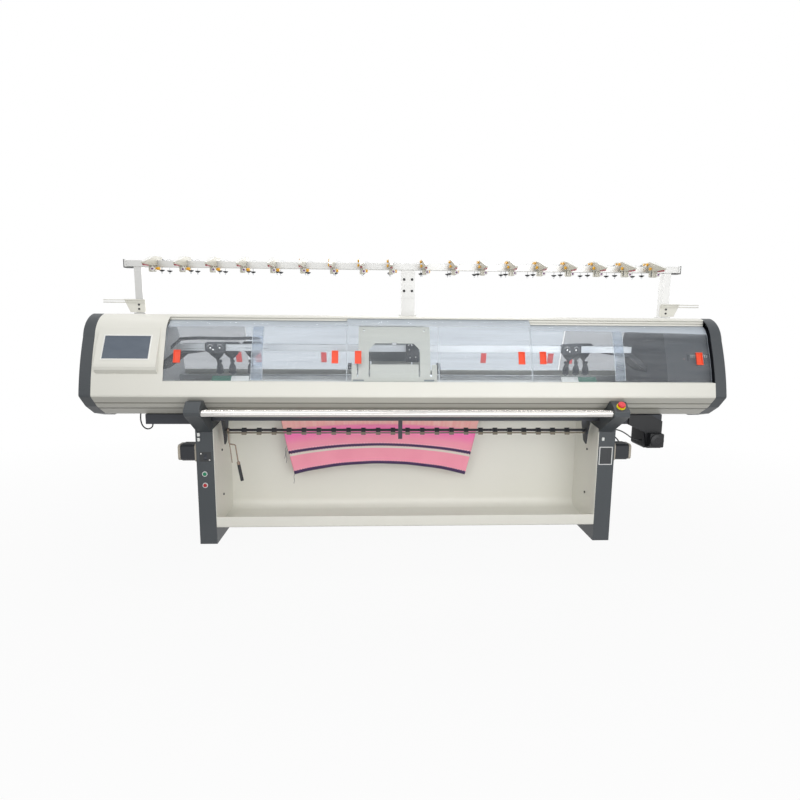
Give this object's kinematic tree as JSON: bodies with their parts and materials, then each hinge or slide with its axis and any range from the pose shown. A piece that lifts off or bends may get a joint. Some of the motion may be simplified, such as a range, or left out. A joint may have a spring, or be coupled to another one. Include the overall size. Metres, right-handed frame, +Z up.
{
  "type": "flat knitting machine",
  "caption": "Flat knitting machine: needle beds and a sliding carriage under clear covers, with a touch panel, a yarn rail on top and a cloth bin between its legs.",
  "frame": {"origin": "on the floor, below the middle of the machine's bounding box", "axes": "+X along the machine to the operator's right, +Y away from the operator, +Z up"},
  "size_m": [3.766, 0.9241, 1.758],
  "materials": {
    "cream_paint": "semi-gloss cream paint",
    "dark_paint": "satin dark blue-grey paint",
    "black_paint": "satin black paint",
    "steel": "ground steel",
    "polished_steel": "polished steel tube",
    "aluminium": "satin aluminium",
    "clear_sheet": "clear acrylic sheet",
    "orange_plastic": "moulded orange-red plastic",
    "screen_glass": "dark screen behind glass",
    "black_plastic": "moulded black plastic",
    "grey_plastic": "light moulded plastic",
    "red_plastic": "moulded red plastic",
    "green_plastic": "moulded green plastic",
    "yellow_plastic": "moulded yellow plastic",
    "black_rubber": "black rubber",
    "knit": "pink knitted wool with navy and cream stripes"
  },
  "bodies": {
    "root": {"left_leg": "dark_paint", "right_leg": "dark_paint", "main_frame": "dark_paint", "front_needle_bed": "steel", "rear_needle_bed": "steel", "guide_rails": "steel", "front_shell": "cream_paint", "rear_shell": "cream_paint", "top_beam": "cream_paint", "left_end_cap": "dark_paint", "right_end_cap": "dark_paint", "left_fascia": "cream_paint", "panel_bezel": "cream_paint", "touch_screen": "screen_glass", "drive_belt": "black_rubber", "feeder_rails": "steel", "rail_arms": "black_paint", "left_bar_bracket": "cream_paint", "right_bar_bracket": "cream_paint", "leg_fittings": "black_plastic", "cloth_bin": "cream_paint", "roller_brackets": "black_paint", "takedown_motors": "black_paint", "main_motor": "black_paint", "yarn_rail": "aluminium", "rail_posts": "aluminium", "guide_brackets": "aluminium", "tension_devices": "grey_plastic", "knit_fabric": "knit", "cables": "black_rubber", "screws": "black_paint"},
    "carriage": {"carriage_covers": "cream_paint", "carriage_base": "steel"},
    "drive_wheel": {"drive_pulley": "aluminium"},
    "idle_wheel": {"idle_pulley": "aluminium"},
    "pressure_shaft": {"clip_shaft": "black_paint", "pressure_lever": "polished_steel"},
    "touch_rail": {"touch_bar": "polished_steel"},
    "stop_plunger": {"stop_stem": "black_plastic"},
    "stop_knob": {"stop_mushroom": "red_plastic"},
    "start_key": {"start_button": "green_plastic"},
    "stop_key": {"stop_button": "red_plastic"},
    "power_key": {"power_toggle": "black_plastic"},
    "roller_front": {"front_roller": "black_rubber"},
    "roller_rear": {"rear_roller": "black_rubber"},
    "front_door_left": {"front_cover_left": "clear_sheet", "front_handles_left": "orange_plastic"},
    "rear_door_left": {"rear_cover_left": "clear_sheet"},
    "front_door_middle": {"front_cover_middle": "clear_sheet", "front_handles_middle": "orange_plastic"},
    "rear_door_middle": {"rear_cover_middle": "clear_sheet"},
    "front_door_right": {"front_cover_right": "clear_sheet", "front_handles_right": "orange_plastic"},
    "rear_door_right": {"rear_cover_right": "clear_sheet"},
    "yarn_carrier_1": {"feeder_1": "dark_paint"},
    "yarn_carrier_2": {"feeder_2": "dark_paint"},
    "yarn_carrier_3": {"feeder_3": "dark_paint"},
    "yarn_carrier_4": {"feeder_4": "dark_paint"},
    "yarn_carrier_5": {"feeder_5": "dark_paint"},
    "yarn_carrier_6": {"feeder_6": "dark_paint"}
  },
  "joints": [
    {"name": "carriage_slide", "type": "slide", "parent": "root", "child": "carriage", "axis": [1, 0, 0], "range_m": [-1.06, 1.24]},
    {"name": "drive_pulley_spin", "type": "hinge", "parent": "root", "child": "drive_wheel", "pos_m": [1.5, 0.34, 0.925], "axis": [0, 1, 0], "range_deg": [-2040, 2380]},
    {"name": "idle_pulley_spin", "type": "hinge", "parent": "root", "child": "idle_wheel", "pos_m": [-1.5, 0.34, 0.925], "axis": [0, 1, 0], "range_deg": [-2040, 2380]},
    {"name": "front_left_cover_slide", "type": "slide", "parent": "root", "child": "front_door_left", "axis": [1, 0, 0], "range_m": [0, 1.04]},
    {"name": "front_middle_cover_slide", "type": "slide", "parent": "root", "child": "front_door_middle", "axis": [1, 0, 0], "range_m": [-1.03, 1.08]},
    {"name": "front_right_cover_slide", "type": "slide", "parent": "root", "child": "front_door_right", "axis": [1, 0, 0], "range_m": [-1.04, 0]},
    {"name": "rear_left_cover_slide", "type": "slide", "parent": "root", "child": "rear_door_left", "axis": [1, 0, 0], "range_m": [0, 0.69]},
    {"name": "rear_middle_cover_slide", "type": "slide", "parent": "root", "child": "rear_door_middle", "axis": [1, 0, 0], "range_m": [-0.69, 0.66]},
    {"name": "rear_right_cover_slide", "type": "slide", "parent": "root", "child": "rear_door_right", "axis": [1, 0, 0], "range_m": [-0.66, 0]},
    {"name": "touch_bar_turn", "type": "hinge", "parent": "root", "child": "touch_rail", "pos_m": [0, -0.425, 0.85], "axis": [1, 0, 0], "range_deg": [-15, 15], "stiffness_Nm_per_rad": 2},
    {"name": "stop_press", "type": "slide", "parent": "root", "child": "stop_plunger", "axis": [0, 0.6122, -0.7907], "range_m": [0, 0.005], "stiffness_N_per_m": 800},
    {"name": "stop_twist", "type": "hinge", "parent": "stop_plunger", "child": "stop_knob", "pos_m": [1.218, -0.43, 0.89], "axis": [0, -0.6122, 0.7907], "range_deg": [0, 45], "stiffness_Nm_per_rad": 0.1},
    {"name": "start_button_press", "type": "slide", "parent": "root", "child": "start_key", "axis": [0, 1, 0], "range_m": [0, 0.003], "stiffness_N_per_m": 600},
    {"name": "stop_button_press", "type": "slide", "parent": "root", "child": "stop_key", "axis": [0, 1, 0], "range_m": [0, 0.003], "stiffness_N_per_m": 600},
    {"name": "power_rock", "type": "hinge", "parent": "root", "child": "power_key", "pos_m": [-1.228, -0.243, 0.553], "axis": [1, 0, 0], "range_deg": [-8, 8]},
    {"name": "front_roller_spin", "type": "hinge", "parent": "root", "child": "roller_front", "pos_m": [0, 0.0027, 0.795], "axis": [1, 0, 0], "continuous": true},
    {"name": "rear_roller_spin", "type": "hinge", "parent": "root", "child": "roller_rear", "pos_m": [0, 0.0633, 0.795], "axis": [1, 0, 0], "continuous": true},
    {"name": "pressure_shaft_turn", "type": "hinge", "parent": "root", "child": "pressure_shaft", "pos_m": [0, -0.147, 0.697], "axis": [1, 0, 0], "range_deg": [-40, 10]},
    {"name": "feeder_1_slide", "type": "slide", "parent": "root", "child": "yarn_carrier_1", "axis": [1, 0, 0], "range_m": [-0.045, 1]},
    {"name": "feeder_2_slide", "type": "slide", "parent": "root", "child": "yarn_carrier_2", "axis": [1, 0, 0], "range_m": [-0.12, 2.3]},
    {"name": "feeder_3_slide", "type": "slide", "parent": "root", "child": "yarn_carrier_3", "axis": [1, 0, 0], "range_m": [-0.2, 1]},
    {"name": "feeder_4_slide", "type": "slide", "parent": "root", "child": "yarn_carrier_4", "axis": [1, 0, 0], "range_m": [-1, 0.19]},
    {"name": "feeder_5_slide", "type": "slide", "parent": "root", "child": "yarn_carrier_5", "axis": [1, 0, 0], "range_m": [-2.3, 0.12]},
    {"name": "feeder_6_slide", "type": "slide", "parent": "root", "child": "yarn_carrier_6", "axis": [1, 0, 0], "range_m": [-1, 0.06]}
  ],
  "couplings": [
    {"joint": "drive_pulley_spin", "follows": "carriage_slide", "rad_per_m": 33.333},
    {"joint": "idle_pulley_spin", "follows": "carriage_slide", "rad_per_m": 33.333},
    {"joint": "rear_roller_spin", "follows": "front_roller_spin", "ratio": -1}
  ]
}
